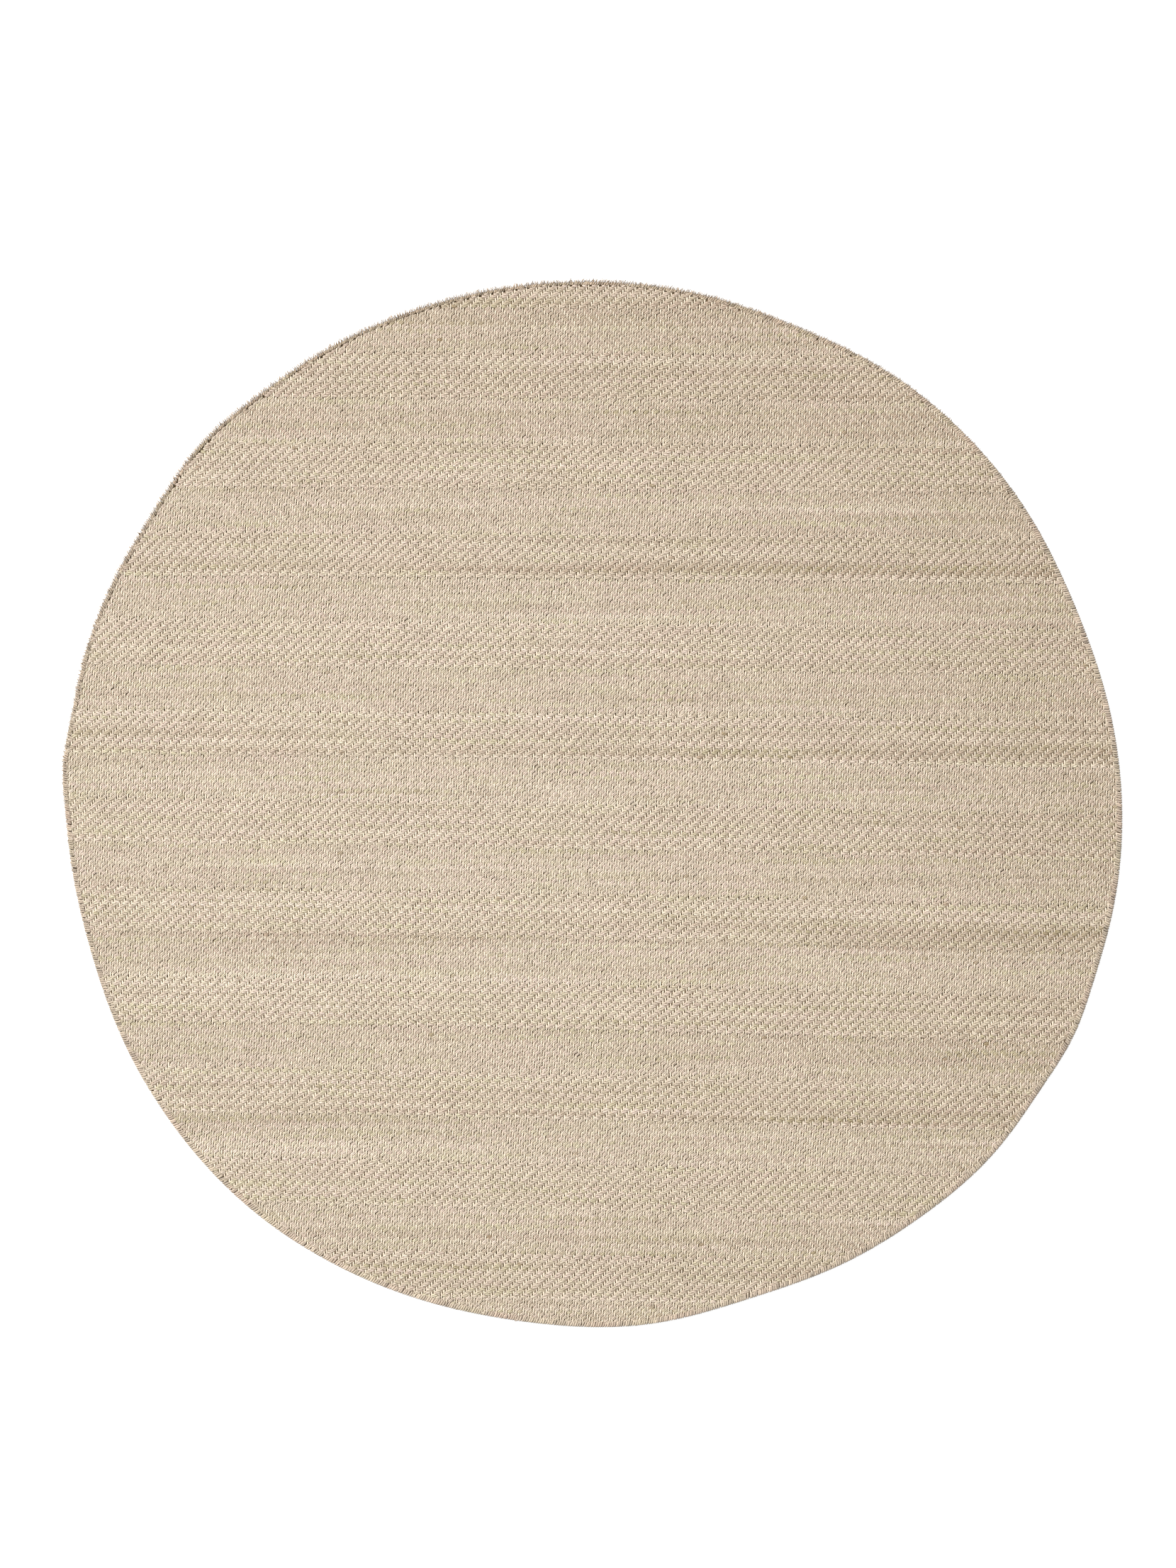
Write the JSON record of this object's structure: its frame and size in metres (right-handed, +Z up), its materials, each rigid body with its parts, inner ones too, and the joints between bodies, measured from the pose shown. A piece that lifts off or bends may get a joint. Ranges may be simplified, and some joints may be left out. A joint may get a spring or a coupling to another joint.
{
  "type": "round wool rug",
  "caption": "Round flat-woven wool rug in a herringbone twill, bound round its uneven edge with overcast yarn.",
  "frame": {"origin": "middle of the outline's box, on the floor under the rug", "axes": "+Z up through the rug's thickness, +X along the wefts, +Y along the warps"},
  "size_m": [2.014, 1.9896, 0.009],
  "materials": {
    "woven_wool": "matt hand-woven wool",
    "binding_yarn": "matt overcast wool yarn"
  },
  "bodies": {
    "root": {"woven_field": "woven_wool", "edge_binding": "binding_yarn"}
  },
  "joints": []
}
